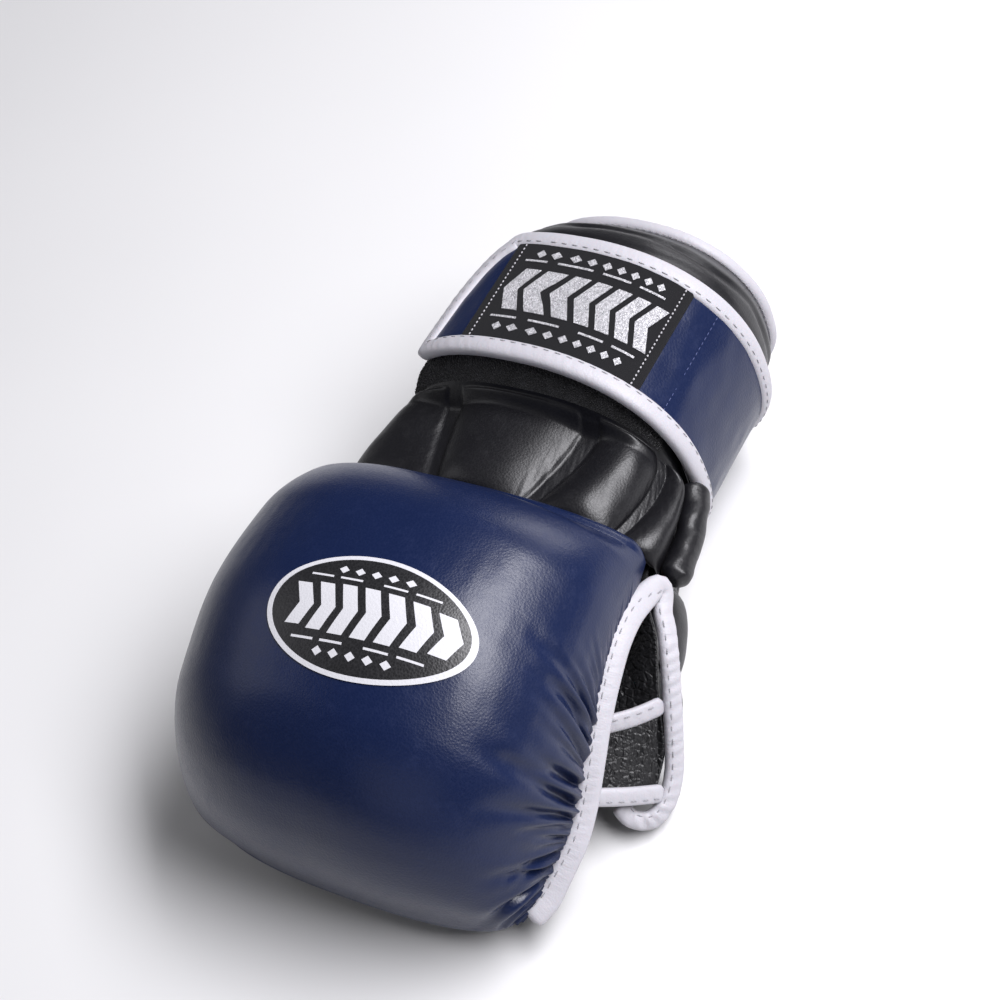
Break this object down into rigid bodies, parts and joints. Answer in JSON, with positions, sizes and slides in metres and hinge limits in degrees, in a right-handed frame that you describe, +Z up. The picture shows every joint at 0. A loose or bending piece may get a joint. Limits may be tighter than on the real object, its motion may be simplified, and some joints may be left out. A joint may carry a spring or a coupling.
{
  "type": "mma glove",
  "caption": "Right-hand open-palm sparring glove with a thick curved knuckle pad, sewn back channels, padded thumb, finger loops and a wrap-round wrist strap.",
  "frame": {"origin": "centre of the glove's footprint, on the ground it rests on, palm down", "axes": "+X to the thumb side, +Y from the fingers to the wrist, +Z up out of the back of the hand"},
  "size_m": [0.1546, 0.2448, 0.1055],
  "materials": {
    "navy_leather": "glossy grained hide, dark navy",
    "black_leather": "soft grained hide, semi-gloss black",
    "white_binding": "smooth white leather tape with one row of stitches",
    "lining_cloth": "black knitted nylon",
    "foam": "closed-cell foam, matt",
    "loop_pile": "black brushed loop pile",
    "hook_tape": "black woven hook tape",
    "elastic_cloth": "black ribbed elastic",
    "woven_label": "black woven label with silver thread",
    "badge_film": "black printed transfer with a white rim"
  },
  "bodies": {
    "hand": {"back_cover": "black_leather", "back_foam_1": "foam", "back_foam_2": "foam", "back_foam_3": "foam", "back_foam_4": "foam", "hand_lining": "lining_cloth", "outer_side_panel": "black_leather", "thumb_side_panel": "black_leather", "thumb_side_roll": "black_leather", "palm_panel": "black_leather", "palm_foam": "foam", "cuff_shell": "black_leather", "cuff_foam": "foam", "cuff_lining": "lining_cloth", "cuff_edge_binding": "white_binding", "wrist_elastic": "elastic_cloth", "pile_panel": "loop_pile", "strap_anchor": "navy_leather", "strap_anchor_binding": "white_binding", "strap_patch": "black_leather"},
    "fingers": {"knuckle_cover": "navy_leather", "knuckle_foam_outer": "foam", "knuckle_foam_inner": "foam", "knuckle_lining": "lining_cloth", "pad_edge_binding": "white_binding", "badge": "badge_film", "finger_loop_index": "black_leather", "finger_loop_middle": "black_leather", "finger_loop_ring": "black_leather", "finger_loop_little": "black_leather", "finger_bar": "black_leather", "outer_web": "black_leather", "knuckle_gusset": "black_leather", "palm_front": "black_leather", "palm_edge_binding": "white_binding", "index_web": "black_leather", "index_web_binding": "white_binding"},
    "thumb": {"thumb_sleeve": "black_leather", "thumb_pad_cover": "black_leather", "thumb_pad_foam": "foam", "thumb_web": "black_leather"},
    "thumb_tip": {"thumb_tip_sleeve": "black_leather", "thumb_tip_pad_cover": "black_leather", "thumb_tip_pad_foam": "foam"},
    "strap_flap": {"strap_flap": "navy_leather", "strap_flap_lining": "hook_tape", "strap_flap_binding": "white_binding", "strap_label": "woven_label"},
    "strap_tip": {"strap_tip": "navy_leather", "strap_tip_hook": "hook_tape", "strap_tip_binding": "white_binding"}
  },
  "joints": [
    {"name": "knuckle_flex", "type": "hinge", "parent": "hand", "child": "fingers", "pos_m": [-0.0062, 0.00114, 0.056], "axis": [1, 0, 0], "range_deg": [0, 12], "stiffness_Nm_per_rad": 1.5, "deforming": ["knuckle_gusset", "palm_front", "palm_edge_binding", "index_web", "index_web_binding"]},
    {"name": "thumb_spread", "type": "hinge", "parent": "hand", "child": "thumb", "pos_m": [0.0348, 0.01514, 0.0145], "axis": [0, 0, 1], "range_deg": [0, 30], "stiffness_Nm_per_rad": 0.15, "deforming": ["thumb_web"]},
    {"name": "thumb_tip_bend", "type": "hinge", "parent": "thumb", "child": "thumb_tip", "pos_m": [0.0417, -0.01786, 0.0126], "axis": [0, 0, -1], "range_deg": [0, 25], "stiffness_Nm_per_rad": 0.08},
    {"name": "strap_peel", "type": "hinge", "parent": "hand", "child": "strap_flap", "pos_m": [0.04405, 0.06714, 0.07166], "axis": [0, 1, 0], "range_deg": [0, 130]},
    {"name": "strap_tip_lift", "type": "hinge", "parent": "strap_flap", "child": "strap_tip", "pos_m": [-0.03048, 0.06714, 0.09161], "axis": [0, 1, 0], "range_deg": [0, 60]}
  ]
}
